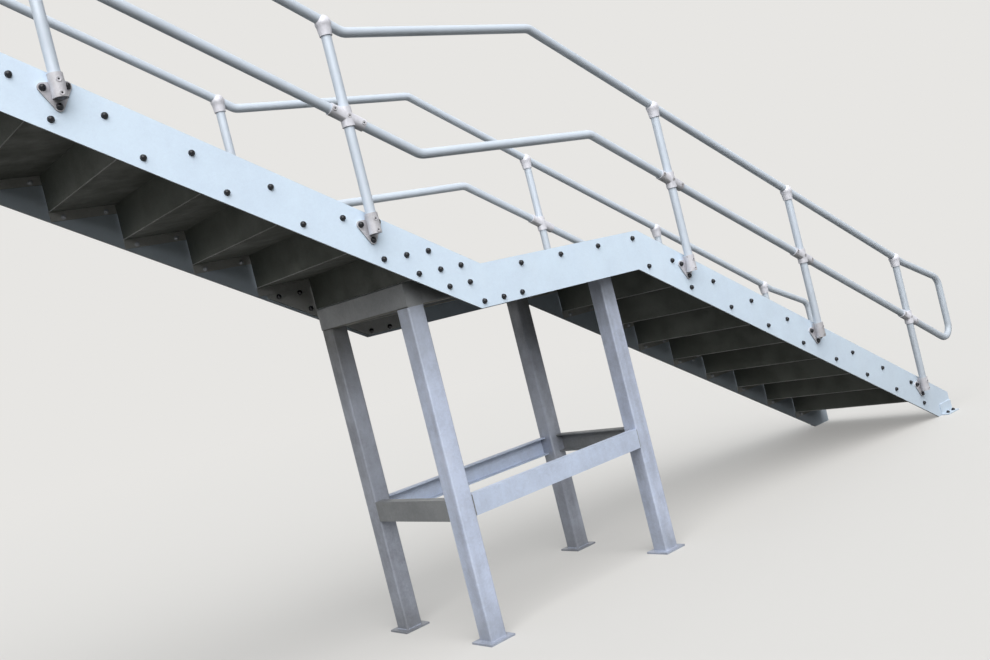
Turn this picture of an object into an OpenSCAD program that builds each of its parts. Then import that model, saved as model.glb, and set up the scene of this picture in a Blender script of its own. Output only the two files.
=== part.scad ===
// Fire escape stair tower: two straight flights between plate stringers, with a
// level landing between them and another at the top, each on a braced trestle
// of four square legs. Tube handrails stand on both sides.
// X runs along the stair and falls toward +X, Y across it, Z up from the floor.
// The origin is on the floor, on the centre line, halfway along the tower.

/* [Steps] */
// Height from one step to the next
rise = 182; // [160:1:200]
// Level distance from one step to the next
going = 320; // [280:1:350]
// Treads in each flight, the landings left out
treads = 9; // [7:1:11]
// How far a tread runs back under the nosing above it
overlap = 28; // [15:1:40]
// Thickness of the folded sheet of treads, risers and landings
sheet = 5; // [4:0.5:6]
// Depth of the turned-down ends of treads and landings
end_flange = 50; // [45:1:60]
// Depth of the turned-down front edge of a tread
nosing = 32; // [24:1:40]
// Gap between a riser's ends and the turned-down ends of the tread above it
riser_gap = 1; // [0.5:0.5:5]

/* [Stringers] */
// Width over both stringers
width = 1080; // [900:10:1300]
// Thickness of the stringer plate
plate = 10; // [8:1:14]
// Depth of the stringer plate, square to its edges
depth = 220; // [200:5:260]
// How far the treads' nosings stay behind the stringer's top edge
nosing_setback = 5; // [2:1:10]
// How far the stringer's foot runs on past the lowest nosing
foot_run = 73; // [60:1:90]

/* [Landings] */
// Length of the middle landing between the bends of its stringer
mid_length = 1184; // [1100:1:1400]
// Length of the top landing past the bend of its stringer
top_length = 1620; // [1600:10:1800]

/* [Splice plates] */
// Thickness of the plates that join flight and landing inside the stringer
splice = 8; // [6:1:10]
// Level reach of a splice plate up the flight from the bend
splice_up = 620; // [560:10:700]
// Reach of a splice plate along the landing from the bend
splice_along = 270; // [240:10:300]
// Margin between a splice plate and the stringer's edges
splice_margin = 12; // [8:1:16]

/* [Trestles] */
// Width of a square leg and of the beams on top of the legs
leg = 100; // [90:5:110]
// Wall thickness of legs and beams
leg_wall = 5; // [4:0.5:8]
// Outer corner radius of legs and beams
leg_radius = 10; // [8:1:12]
// Distance from the stringer's outer face to a leg
leg_inset = 121; // [100:1:150]
// Distance from the landing's lower bend to the centre of the legs nearest it
leg_near_bend = 217; // [180:1:240]
// Distance from the upper flight's first nosing back to the centre of the legs below it
leg_past = 35; // [10:5:60]
// Distance from the top landing's end to the centre of the legs nearest it
leg_from_end = 76; // [66:2:120]
// Side of a square base plate
foot_plate = 156; // [140:2:180]
// Thickness of a base plate
foot_thickness = 10; // [8:1:15]
// Depth of the beams on top of the legs
beam_depth = 125; // [100:5:140]
// Diameter of the vent hole from a cross beam into a leg
vent_hole = 30; // [20:1:40]
// Web and flange thickness of the braces
channel_wall = 7; // [5:0.5:9]
// Depth of a brace channel
brace_depth = 108; // [90:1:120]
// Flange width of a brace channel
brace_width = 50; // [40:1:60]
// Height of the underside of the lowest braces
brace_height = 618; // [500:2:700]

/* [Floor cleats] */
// Length of a floor cleat along the stringer's foot
cleat_length = 160; // [150:5:170]
// Height of a floor cleat's upright side
cleat_height = 82; // [70:1:90]
// Width of a floor cleat's level side
cleat_width = 60; // [50:1:70]
// Thickness of a floor cleat
cleat_wall = 8; // [6:1:10]
// Distance between the two floor bolts of a cleat
cleat_pitch = 80; // [60:5:90]
// Diameter of a floor bolt's hole
cleat_hole = 14; // [10:1:18]

/* [Handrails] */
// Outer diameter of rails and posts
tube = 48.3; // [42:0.1:50]
// Wall thickness of rails and posts
tube_wall = 3.2; // [2.6:0.1:4]
// Distance from the stringer's outer face to the axis of rails and posts
rail_offset = 40; // [36:1:50]
// Height of the top rail over the nosings
top_over_steps = 890; // [860:5:940]
// Height of the top rail over the landings
top_over_landing = 1175; // [1100:5:1200]
// Height of the middle rail over the nosings
mid_over_steps = 441; // [420:1:480]
// Height of the middle rail over the landings
mid_over_landing = 571; // [540:1:600]
// Radius of the rails' bends, at the tube's axis
rail_bend = 90; // [75:5:120]
// How far the rails' lower end stands out past the stringer's foot
rail_reach = 172; // [150:2:200]
// How far the top rail's lower end rises over the line of the rail
rail_end_lift = 60; // [0:5:80]
// Gap of the butt joint between a straight length and a bend
butt = 0.3; // [0.1:0.1:0.5]

/* [Posts and fittings] */
// Distance from the middle landing's lower bend to the first post below it
lower_post = 346; // [300:1:400]
// Distance between the posts of the lower flight
lower_post_pitch = 1120; // [1000:5:1130]
// Distance from the top rail's bend over the upper flight to the flight's first post
upper_post = 93; // [80:1:180]
// Distance between the posts of the upper flight
upper_post_pitch = 1254; // [1200:2:1280]
// Distance from the top rail's bend over the top landing to the landing's first post
landing_post = 139; // [90:1:200]
// Straight length of rail between the upper end's bend and the last post's fitting
end_straight = 20; // [10:5:60]
// Diameter of the rounded body of a top fitting
ball = 77; // [72:1:80]
// Distance from the rail's axis down to the middle of a top fitting's body
ball_drop = 8; // [4:1:10]
// Distance from the rail's axis down to a top fitting's lower end
neck_drop = 68; // [62:1:76]
// Outer diameter of the fittings' sockets
socket = 60; // [57:0.5:64]
// Length of a cross fitting's rail sockets from the post's axis
cross_reach = 92; // [80:1:110]
// Length of a cross fitting's collar round the post, from the rail's axis
collar_reach = 46; // [42:1:56]
// Clearance between a tube and its fitting
fit = 0.3; // [0.2:0.05:0.5]
// Height of a base fitting's socket
base_socket = 96; // [80:1:110]
// Distance from the stringer's top edge down to a base fitting's socket
base_drop = 12; // [6:1:30]
// How far a post's end stays above the open lower end of its socket
post_lift = 14; // [8:1:20]
// Thickness of a base fitting's plate
base_plate = 8; // [6:1:9]
// Distance between the two upper bolts of a base fitting
base_bolts = 94; // [90:1:100]
// Distance from the upper bolts down to the lower bolt of a base fitting
base_bolt_drop = 80; // [76:1:86]
// Distance from the socket's lower end down to the lower bolt
base_bolt_below = 23; // [21:1:30]
// Radius of a base fitting's plate round each bolt
base_lobe = 19; // [16:1:22]

/* [Hidden] */
round_faces = 48;

// How far cuts run past the faces they open, and the gap between edges that pass closely
eps = 1;
clearance = 1;

// The pitch of the flights and the level shift of a mitred bend
slope = rise / going;
pitch_angle = atan(slope);
mitre = depth * tan(pitch_angle / 2);

// Heights of the landings, and places of the stringer's bends from the lower one
steps = treads + 1;
mid_z = steps * rise;
top_z = 2 * mid_z;
mid_bend = -mid_length;
top_bend = mid_bend - steps * going;
stair_end = top_bend - top_length;
foot_end = treads * going + foot_run;

// The rails' lower end and the shift that puts the origin at the middle
rail_end = foot_end + rail_reach;
middle = (stair_end + rail_end + tube / 2) / 2;
half = width / 2;
inner = half - plate;

// Level places of the trestles' leg centres and of the legs across the stair
mid_legs = [nosing_x(steps + 1) - leg_past, -leg_near_bend];
top_legs = [stair_end + leg_from_end, top_bend - leg_near_bend];
leg_y = half - leg_inset - leg / 2;

// Level shift of each rail's bends from the stringer's bends, and the upper end
top_run = (top_over_landing - top_over_steps) / slope;
mid_run = (mid_over_landing - mid_over_steps) / slope;
upper_end = stair_end + tube;

// Places of the posts along one side, as many at a pitch as their flight has room for
lower_limit = foot_end - cleat_length - base_bolts / 2 - base_lobe - clearance;
lower_posts = [for (x = [lower_post:lower_post_pitch:lower_limit]) x];
upper_posts = [for (x = [mid_bend - top_run - upper_post:-upper_post_pitch:top_bend]) x];
top_post = upper_end + rail_bend + end_straight + cross_reach;
landing_posts = [top_post, top_bend - top_run - landing_post];
foot_post = lower_posts[len(lower_posts) - 1];

galvanised = [0.66, 0.69, 0.73];

// Height of the stringer's top edge at a place along the stair
function edge_z(x) =
  x > 0 ? mid_z - x * slope :
  x > mid_bend ? mid_z :
  x > top_bend ? mid_z + (mid_bend - x) * slope : top_z;

// Height of a rail that stands one height over the steps and another over a landing
function rail_z(x, over_steps, over_landing) =
  let (run = (over_landing - over_steps) / slope)
  x > -run ? mid_z + over_steps - x * slope :
  x > mid_bend - run ? mid_z + over_landing :
  x > top_bend - run ? mid_z + over_steps + (mid_bend - x) * slope : top_z + over_landing;

function top_rail_z(x) = rail_z(x, top_over_steps, top_over_landing);
function mid_rail_z(x) = rail_z(x, mid_over_steps, mid_over_landing);

// Angle of a rail at a place: the pitch on a flight and none over a landing
function rail_angle(x, over_steps, over_landing) =
  let (run = (over_landing - over_steps) / slope)
  x > -run ? -pitch_angle :
  x > mid_bend - run ? 0 :
  x > top_bend - run ? -pitch_angle : 0;

// Stringers

// Outline of a stringer seen from the side, one plate with three mitred bends
module stringer_outline() {
  low = mid_z - depth;
  polygon([
    [foot_end, 0],
    [foot_end, edge_z(foot_end)],
    [0, mid_z],
    [mid_bend, mid_z],
    [top_bend, top_z],
    [stair_end, top_z],
    [stair_end, top_z - depth],
    [top_bend - mitre, top_z - depth],
    [mid_bend - mitre, low],
    [-mitre, low],
    [low / slope - mitre, 0]
  ]);
}

// Stands an outline in the plane of the stair, from y over a thickness
module upright(y, thickness) {
  translate([-middle, y + thickness, 0])
    rotate([90, 0, 0])
      linear_extrude(thickness) children();
}

module stringer_near() {
  color(galvanised) upright(-half, plate) stringer_outline();
}

module stringer_far() {
  color(galvanised) upright(inner, plate) stringer_outline();
}

// Splice plates

// Outline of a splice plate: the stringer's form at its bend, set in by a margin
module splice_outline() {
  inset = splice_margin * tan(pitch_angle / 2);
  along = mid_bend + splice_along;
  up = mid_bend - splice_up;
  high = mid_z - splice_margin;
  low = mid_z - depth + splice_margin;
  skew = mitre - inset;
  polygon([
    [along, low],
    [along, high],
    [mid_bend - inset, high],
    [up, high + (mid_bend - inset - up) * slope],
    [up, low + (mid_bend - skew - up) * slope],
    [mid_bend - skew, low]
  ]);
}

module splice_near() {
  color(galvanised) upright(-inner, splice) splice_outline();
}

module splice_far() {
  color(galvanised) upright(inner - splice, splice) splice_outline();
}

// Steps

// Nosing of the step that stands a number of rises over the floor
function nosing_x(step) =
  (steps - step) * going - nosing_setback - (step > steps ? mid_length : 0);

// Half the clear width at a step, less beside the splice plates
function step_half(step) = step == steps + 1 ? inner - splice : inner;

// Profile of a folded step: a level sheet whose front edge turns down, with the
// outer corner of the fold rounded
module step_profile(run) {
  translate([-run, -sheet]) square([run - sheet, sheet]);
  translate([-sheet, -nosing]) square([sheet, nosing - sheet]);
  translate([-sheet, -sheet]) circle(r = sheet, $fn = round_faces);
}

// A tray from its front edge back over a run, with its ends turned down
module tray(run, half_width, front = true) {
  rotate([90, 0, 0])
    translate([0, 0, -half_width])
      linear_extrude(2 * half_width)
        if (front) step_profile(run);
        else translate([-run, -sheet]) square([run, sheet]);
  for (side = [-1, 1])
    translate([-run, side > 0 ? half_width - sheet : -half_width, -end_flange])
      cube([run - (front ? sheet : 0), sheet, end_flange - sheet / 2]);
}

module treads(first) {
  for (step = [first:first + treads - 1])
    translate([nosing_x(step) - middle, 0, step * rise])
      tray(going + overlap, step_half(step));
}

// A riser: a plain sheet on the back edge of its step, up to the underside of the
// next one and clear of that one's turned-down ends
module riser(step) {
  reach = min(step_half(step), step_half(step + 1)) - sheet - riser_gap;
  translate([nosing_x(step + 1) - overlap - middle, -reach, step * rise])
    cube([sheet, 2 * reach, rise - sheet]);
}

module risers(first, last) {
  for (step = [first:last]) riser(step);
}

module treads_lower() { color(galvanised) treads(1); }
module risers_lower() { color(galvanised) risers(1, treads); }
module treads_upper() { color(galvanised) treads(steps + 1); }
module risers_upper() { color(galvanised) risers(steps, steps + treads); }

// Landings

// The middle landing is narrower beside the splice plates than beyond them
module landing_mid() {
  wide = -nosing_setback - mid_bend - splice_along - clearance;
  narrow = nosing_x(steps) - wide - nosing_x(steps + 1) + overlap;
  color(galvanised) translate([nosing_x(steps) - middle, 0, mid_z]) {
    tray(wide, inner);
    translate([-wide, 0, 0]) tray(narrow, inner - splice, false);
  }
}

// The top landing, with its back edge turned down as well
module landing_top() {
  run = top_length - nosing_setback;
  color(galvanised) translate([nosing_x(2 * steps) - middle, 0, top_z]) {
    tray(run, inner);
    translate([-run, -inner, -nosing]) cube([sheet, 2 * inner, nosing - sheet / 2]);
  }
}

// Trestles

// Outline of a channel section, its web at the right and its flanges to the left
module channel(tall, wide) {
  difference() {
    translate([-wide, 0]) square([wide, tall]);
    translate([-wide - eps, channel_wall])
      square([wide - channel_wall + eps, tall - 2 * channel_wall]);
  }
}

// A rectangle with rounded corners, round the origin
module rounded_rectangle(wide, tall, radius) {
  square([wide, tall - 2 * radius], center = true);
  square([wide - 2 * radius, tall], center = true);
  for (x = [-1, 1], y = [-1, 1])
    translate([x * (wide / 2 - radius), y * (tall / 2 - radius)])
      circle(r = radius, $fn = round_faces);
}

// The bore of a hollow section as wide as a leg
module section_bore(tall) {
  rounded_rectangle(leg - 2 * leg_wall, tall - 2 * leg_wall, leg_radius - leg_wall);
}

// Outline of a hollow section as wide as a leg
module hollow_section(tall) {
  difference() {
    rounded_rectangle(leg, tall, leg_radius);
    section_bore(tall);
  }
}

// A cross beam under a landing, on two legs: a hollow section whose ends are capped,
// with a vent hole through its underside into each leg
module cross_beam(x, floor_z) {
  reach = leg_y + leg / 2;
  hollow = reach - leg_wall;
  color(galvanised) translate([x - middle, 0, floor_z - sheet - beam_depth / 2]) difference() {
    translate([0, reach, 0]) rotate([90, 0, 0])
      linear_extrude(2 * reach) rounded_rectangle(leg, beam_depth, leg_radius);
    translate([0, hollow, 0]) rotate([90, 0, 0])
      linear_extrude(2 * hollow) section_bore(beam_depth);
    for (side = [-1, 1])
      translate([0, side * leg_y, -beam_depth / 2 - eps])
        cylinder(h = leg_wall + 2 * eps, d = vent_hole, $fn = round_faces);
  }
}

// The two beams along the stair that butt against a trestle's cross beams, flush
// with the outer faces of the legs
module long_beams(places, floor_z) {
  run = places[1] - places[0] - leg;
  color(galvanised) for (side = [-1, 1])
    translate([places[0] + leg / 2 - middle, side * leg_y, floor_z - sheet - beam_depth / 2])
      rotate([90, 0, 90]) linear_extrude(run) hollow_section(beam_depth);
}

module beam_mid_left() { cross_beam(mid_legs[0], mid_z); }
module beam_mid_right() { cross_beam(mid_legs[1], mid_z); }
module beams_mid_long() { long_beams(mid_legs, mid_z); }
module beam_top_left() { cross_beam(top_legs[0], top_z); }
module beam_top_right() { cross_beam(top_legs[1], top_z); }
module beams_top_long() { long_beams(top_legs, top_z); }

// A leg of hollow section on its base plate, up to the underside of a cross beam
module square_leg(tall) {
  translate([-foot_plate / 2, -foot_plate / 2, 0])
    cube([foot_plate, foot_plate, foot_thickness]);
  translate([0, 0, foot_thickness]) linear_extrude(tall - foot_thickness) hollow_section(leg);
}

module leg_pair(places, floor_z, side) {
  color(galvanised) for (x = places)
    translate([x - middle, side * leg_y, 0]) square_leg(floor_z - sheet - beam_depth);
}

module legs_mid_near() { leg_pair(mid_legs, mid_z, -1); }
module legs_mid_far() { leg_pair(mid_legs, mid_z, 1); }
module legs_top_near() { leg_pair(top_legs, top_z, -1); }
module legs_top_far() { leg_pair(top_legs, top_z, 1); }

// The two braces along the stair at one height, their webs flush with the legs
module long_braces(places, z) {
  run = places[1] - places[0] - leg;
  for (side = [-1, 1])
    translate([places[0] + leg / 2 - middle + (side > 0 ? run : 0), side * (leg_y + leg / 2), z])
      rotate([0, 0, side * 90]) rotate([90, 0, 0]) translate([0, 0, -run])
        linear_extrude(run) channel(brace_depth, brace_width);
}

// The two braces across the stair at one height
module short_braces(places, z) {
  run = 2 * leg_y - leg;
  for (side = [-1, 1])
    translate([(side > 0 ? places[1] + leg / 2 : places[0] - leg / 2) - middle, side * run / 2, z])
      rotate([0, 0, side > 0 ? 0 : 180]) rotate([90, 0, 0])
        linear_extrude(run) channel(brace_depth, brace_width);
}

module braces_mid_long() { color(galvanised) long_braces(mid_legs, brace_height); }
module braces_mid_short() { color(galvanised) short_braces(mid_legs, brace_height); }

module braces_top_long() {
  color(galvanised) for (z = [brace_height, brace_height + mid_z]) long_braces(top_legs, z);
}

module braces_top_short() {
  color(galvanised) for (z = [brace_height, brace_height + mid_z]) short_braces(top_legs, z);
}

// Floor cleats

// An angle against each stringer's foot, with two floor bolts through its level side
module floor_cleats() {
  color(galvanised) for (side = [-1, 1])
    translate([foot_end - cleat_length - middle, side * half, 0]) difference() {
      union() {
        translate([0, side > 0 ? 0 : -cleat_width, 0])
          cube([cleat_length, cleat_width, cleat_wall]);
        translate([0, side > 0 ? 0 : -cleat_wall, cleat_wall / 2])
          cube([cleat_length, cleat_wall, cleat_height - cleat_wall / 2]);
      }
      for (x = [-1, 1])
        translate([(cleat_length + x * cleat_pitch) / 2, side * (cleat_width + cleat_wall) / 2, -eps])
          cylinder(h = cleat_wall + 2 * eps, d = cleat_hole, $fn = round_faces);
    }
}

// Handrails

// Cross section of the tube
module tube_ring() {
  difference() {
    circle(d = tube, $fn = round_faces);
    circle(d = tube - 2 * tube_wall, $fn = round_faces);
  }
}

// Direction of the straight from one point of a path to the next, in degrees
function heading(path, i) =
  atan2(path[i + 1].y - path[i].y, path[i + 1].x - path[i].x);

// Turn of a path at one of its points, left turns above zero
function turn(path, i) =
  let (change = heading(path, i) - heading(path, i - 1))
  change > 180 ? change - 360 : change < -180 ? change + 360 : change;

// Length that a bend takes from the straights on each side of it
function bend_trim(path, i) =
  i == 0 || i == len(path) - 1 ? 0 : rail_bend * tan(abs(turn(path, i)) / 2);

// A tube along a path: straight lengths that butt against a bend at each inner
// point, and end half a joint short of the path's ends
module bent_tube(path) {
  for (i = [0:len(path) - 2]) {
    first = bend_trim(path, i) + (i == 0 ? butt / 2 : butt);
    last = bend_trim(path, i + 1) + (i == len(path) - 2 ? butt / 2 : butt);
    run = norm(path[i + 1] - path[i]) - first - last;
    translate(path[i]) rotate([0, 0, heading(path, i)])
      translate([first, 0, 0]) rotate([0, 90, 0]) linear_extrude(run) tube_ring();
  }
  for (i = [1:len(path) - 2]) {
    side = turn(path, i) > 0 ? 1 : -1;
    translate(path[i]) rotate([0, 0, heading(path, i - 1)])
      translate([-bend_trim(path, i), side * rail_bend, 0])
        rotate([0, 0, side > 0 ? -90 : 90 + turn(path, i)])
          rotate_extrude(angle = abs(turn(path, i)), $fn = 2 * round_faces)
            translate([rail_bend, 0]) tube_ring();
  }
}

// Stands a path in the plane of the rails on one side of the stair
module rail(path, side) {
  translate([-middle, side * (half + rail_offset), 0]) rotate([90, 0, 0]) bent_tube(path);
}

// How far a length of rail stops short of the axis of a post it is socketed to
function rail_stop(pitch) =
  (tube / 2 + clearance + tube / 2 * sin(abs(pitch))) / cos(pitch);

// Where the top rail's two turned-back ends run to, and where its last bend begins
foot_joint = foot_post + rail_stop(pitch_angle) * cos(pitch_angle);
top_joint = top_post - rail_stop(0);
last_bend = foot_post + cross_reach;

// The top rail, turned down at both ends and back along the middle rail's line
top_path = [
  [top_joint, top_z + mid_over_landing],
  [upper_end, top_z + mid_over_landing],
  [upper_end, top_z + top_over_landing],
  [top_bend - top_run, top_z + top_over_landing],
  [mid_bend - top_run, mid_z + top_over_landing],
  [-top_run, mid_z + top_over_landing],
  [last_bend, top_rail_z(last_bend)],
  [rail_end, top_rail_z(rail_end) + rail_end_lift],
  [rail_end, mid_rail_z(rail_end)],
  [foot_joint, mid_rail_z(foot_joint)]
];

mid_path = [
  [top_post, top_z + mid_over_landing],
  [top_bend - mid_run, top_z + mid_over_landing],
  [mid_bend - mid_run, mid_z + mid_over_landing],
  [-mid_run, mid_z + mid_over_landing],
  [foot_post, mid_rail_z(foot_post)]
];

// The middle rail in lengths that stop short of the posts they are socketed to
module mid_rail(side) {
  difference() {
    rail(mid_path, side);
    for (x = post_places) {
      pitch = rail_angle(x, mid_over_steps, mid_over_landing);
      translate([x - middle, side * (half + rail_offset), mid_rail_z(x)])
        rotate([0, -pitch, 0]) cross_socket(tube + eps, rail_stop(pitch));
    }
  }
}

module top_rail_near() { color(galvanised) rail(top_path, -1); }
module top_rail_far() { color(galvanised) rail(top_path, 1); }
module mid_rail_near() { color(galvanised) mid_rail(-1); }
module mid_rail_far() { color(galvanised) mid_rail(1); }

// Posts and fittings

post_places = concat(landing_posts, upper_posts, lower_posts);

// Sets its children at each post's place on one side of the stair
module at_posts(side) {
  color(galvanised) for (x = post_places)
    translate([x - middle, side * (half + rail_offset), 0]) {
      $post = x;
      children();
    }
}

// Height of the lower end of a base fitting's socket at a post
function socket_z(x) = edge_z(x) - base_drop - base_socket;

// How far a post stops short of the axis of the top rail that crosses it
post_stop = tube / 2 / cos(pitch_angle) + tube / 2 * tan(pitch_angle) + clearance;

// A post, from just above its socket's open end up into the top fitting
module post_tube() {
  low = socket_z($post) + post_lift;
  translate([0, 0, low]) linear_extrude(top_rail_z($post) - post_stop - low) tube_ring();
}

// A round bar along X whose middle lies at the origin
module cross_socket(diameter, reach) {
  rotate([0, 90, 0]) translate([0, 0, -reach])
    cylinder(h = 2 * reach, d = diameter, $fn = round_faces);
}

// The fitting at the middle rail: a collar round the post between two rail sockets
module cross_fitting() {
  pitch = rail_angle($post, mid_over_steps, mid_over_landing);
  bore = tube + 2 * fit;
  translate([0, 0, mid_rail_z($post)]) difference() {
    union() {
      rotate([0, -pitch, 0]) cross_socket(socket, cross_reach);
      translate([0, 0, -collar_reach])
        cylinder(h = 2 * collar_reach, d = socket + clearance, $fn = round_faces);
    }
    rotate([0, -pitch, 0]) cross_socket(bore, cross_reach + eps);
    translate([0, 0, -collar_reach - eps])
      cylinder(h = 2 * (collar_reach + eps), d = bore + fit, $fn = round_faces);
  }
}

// The fitting on top of a post: a rounded body that the top rail passes through,
// narrowing to a neck round the post
module top_fitting() {
  pitch = rail_angle($post, top_over_steps, top_over_landing);
  bore = tube + 2 * fit;
  shoulder = ball_drop + ball / 6;
  translate([0, 0, top_rail_z($post)]) difference() {
    union() {
      translate([0, 0, -ball_drop]) sphere(d = ball, $fn = round_faces);
      translate([0, 0, -neck_drop])
        cylinder(h = neck_drop - shoulder, d1 = socket, d2 = ball * 0.9, $fn = round_faces);
    }
    rotate([0, -pitch, 0]) cross_socket(bore, ball);
    translate([0, 0, -neck_drop - eps])
      cylinder(h = neck_drop + eps, d = bore, $fn = round_faces);
  }
}

// Outline of a base fitting's plate: a lobe round each of three bolts and the
// triangle that joins them, with the lower bolt at the origin
module base_outline() {
  wide = base_bolts / 2;
  tip = atan2(base_bolt_drop, wide);
  out = base_lobe * [sin(tip), -cos(tip)];
  left = base_lobe * [-sin(tip), -cos(tip)];
  for (bolt = [[0, 0], [-wide, base_bolt_drop], [wide, base_bolt_drop]])
    translate(bolt) circle(r = base_lobe, $fn = round_faces);
  polygon([
    left,
    out,
    [wide, base_bolt_drop] + out,
    [wide, base_bolt_drop + base_lobe],
    [-wide, base_bolt_drop + base_lobe],
    [-wide, base_bolt_drop] + left
  ]);
}

// The fitting that holds a post's foot against the outside of a stringer: a plate,
// a socket that is open below and a web between them
module base_fitting(side) {
  low = socket_z($post);
  bore = tube + 2 * fit;
  web = socket / 2;
  difference() {
    union() {
      translate([0, side * -rail_offset + (side > 0 ? base_plate : 0), low - base_bolt_below])
        rotate([90, 0, 0]) linear_extrude(base_plate) base_outline();
      translate([0, 0, low]) cylinder(h = base_socket, d = socket, $fn = round_faces);
      translate([-web / 2, side > 0 ? -rail_offset + base_plate / 2 : 0, low])
        cube([web, rail_offset - base_plate / 2, base_socket]);
    }
    translate([0, 0, low - eps])
      cylinder(h = base_socket + 2 * eps, d = bore, $fn = round_faces);
  }
}

module posts_near() { at_posts(-1) post_tube(); }
module posts_far() { at_posts(1) post_tube(); }
module base_fittings_near() { at_posts(-1) base_fitting(-1); }
module base_fittings_far() { at_posts(1) base_fitting(1); }
module cross_fittings_near() { at_posts(-1) cross_fitting(); }
module cross_fittings_far() { at_posts(1) cross_fitting(); }
module top_fittings_near() { at_posts(-1) top_fitting(); }
module top_fittings_far() { at_posts(1) top_fitting(); }

stringer_near();
stringer_far();
splice_near();
splice_far();
treads_lower();
risers_lower();
treads_upper();
risers_upper();
landing_mid();
landing_top();
floor_cleats();
beam_mid_left();
beam_mid_right();
beams_mid_long();
beam_top_left();
beam_top_right();
beams_top_long();
legs_mid_near();
legs_mid_far();
legs_top_near();
legs_top_far();
braces_mid_long();
braces_mid_short();
braces_top_long();
braces_top_short();
top_rail_near();
top_rail_far();
mid_rail_near();
mid_rail_far();
posts_near();
posts_far();
base_fittings_near();
base_fittings_far();
cross_fittings_near();
cross_fittings_far();
top_fittings_near();
top_fittings_far();
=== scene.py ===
import math

import bpy
import numpy as np
from mathutils import Matrix, Vector


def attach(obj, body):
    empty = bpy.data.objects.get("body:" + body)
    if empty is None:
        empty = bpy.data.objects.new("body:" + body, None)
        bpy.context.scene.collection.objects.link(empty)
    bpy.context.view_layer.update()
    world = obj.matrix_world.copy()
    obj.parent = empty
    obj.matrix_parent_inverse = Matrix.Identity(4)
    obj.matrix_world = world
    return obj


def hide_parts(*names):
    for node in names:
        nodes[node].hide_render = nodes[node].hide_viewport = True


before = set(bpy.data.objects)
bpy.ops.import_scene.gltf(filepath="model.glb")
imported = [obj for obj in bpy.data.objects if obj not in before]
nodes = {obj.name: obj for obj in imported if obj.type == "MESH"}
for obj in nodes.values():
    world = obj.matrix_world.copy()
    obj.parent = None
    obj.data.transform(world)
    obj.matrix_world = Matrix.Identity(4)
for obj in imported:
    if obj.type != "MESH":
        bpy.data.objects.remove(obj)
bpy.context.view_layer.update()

# Camera: where the photograph was taken from, with its tilt to the right

CAMERA_PLACE = (-3.0692, -4.5413, 1.5849)
RIGHT = Vector((0.74517, -0.62096, -0.24317))
UP = Vector((0.20019, -0.13953, 0.96977))
FORWARD = Vector((0.63612, 0.77132, -0.02033))

camera = bpy.data.objects.new("camera", bpy.data.cameras.new("camera"))
bpy.context.scene.collection.objects.link(camera)
camera.data.sensor_width = 36.0
camera.data.lens = 37.80
camera.data.clip_start = 0.05
camera.data.clip_end = 400.0
camera.matrix_world = (
    Matrix.Translation(CAMERA_PLACE) @ Matrix((RIGHT, UP, -FORWARD)).transposed().to_4x4()
)
bpy.context.scene.camera = camera
bpy.context.scene.view_settings.view_transform = "Standard"

# Sizes of the stair, in metres, as the solids have them. Places along it count from the
# bend at the top of the lower flight, and grow towards the foot.

RISE = 0.182
GOING = 0.320
TREADS = 9
STEPS = TREADS + 1
SLOPE = RISE / GOING
PITCH = math.atan(SLOPE)
SETBACK = 0.005
MID_LENGTH = 1.184
TOP_LENGTH = 1.620
FOOT_RUN = 0.073
MID_Z = STEPS * RISE
TOP_Z = 2 * MID_Z
TOP_BEND = -MID_LENGTH - STEPS * GOING
STAIR_END = TOP_BEND - TOP_LENGTH
FOOT_END = TREADS * GOING + FOOT_RUN
ORIGIN_SHIFT = 1.427425

# Stringers: half widths out to their faces, and their depth

HALF = 0.540
INNER = 0.530
FLANGE_FACE = 0.525
SPLICE_FACE = 0.522
DEPTH = 0.220
MITRE = DEPTH * math.tan(PITCH / 2)
SIDES = (("near", -1), ("far", 1))

# Rails, posts and their fittings

TUBE = 0.0483
TUBE_WALL = 0.0032
RAIL_OUT = 0.040
RAIL_Y = HALF + RAIL_OUT
RAIL_BEND = 0.090
TOP_OVER_STEPS, TOP_OVER_LANDING = 0.890, 1.175
MID_OVER_STEPS, MID_OVER_LANDING = 0.441, 0.571
RAIL_PAST_FOOT = 0.172
RAIL_END = FOOT_END + RAIL_PAST_FOOT
RAIL_END_LIFT = 0.060
UPPER_END = STAIR_END + TUBE
POSTS = np.array([-5.7537, -5.0241, -4.2861, -3.0321, -1.7781, 0.346, 1.466, 2.586])
CROSS_REACH = 0.092
CLEARANCE = 0.001
SOCKET_RADIUS = 0.030
SOCKET_DROP = 0.108
POST_LIFT = 0.014

# Trestles

LEG = 0.100
LEG_Y = 0.369
MID_LEGS = (-1.544, -0.217)
TOP_LEGS = (-5.928, -4.601)


def stair_edge(x):
    """Height of the stringer's top edge: level over the landings, one slope on the flights."""
    x = np.asarray(x, float)
    return np.where(
        x > 0,
        MID_Z - x * SLOPE,
        np.where(
            x > -MID_LENGTH,
            MID_Z,
            np.where(x > TOP_BEND, MID_Z - (x + MID_LENGTH) * SLOPE, TOP_Z),
        ),
    )


def rail_height(x, over_steps, over_landing):
    """Height of a rail: parallel to the nosings on a flight, level over a landing."""
    x = np.asarray(x, float)
    run = (over_landing - over_steps) / SLOPE
    return np.where(
        x > -run,
        MID_Z + over_steps - x * SLOPE,
        np.where(
            x > -MID_LENGTH - run,
            MID_Z + over_landing,
            np.where(
                x > TOP_BEND - run,
                MID_Z + over_steps - (x + MID_LENGTH) * SLOPE,
                TOP_Z + over_landing,
            ),
        ),
    )


def rail_pitch(x, over_steps, over_landing):
    """Angle of a rail below the level at a place, in radians."""
    x = np.asarray(x, float)
    run = (over_landing - over_steps) / SLOPE
    level = ((x <= -run) & (x > -MID_LENGTH - run)) | (x <= TOP_BEND - run)
    return np.where(level, 0.0, PITCH)


# Meshes: surfaces on a grid of points


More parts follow.
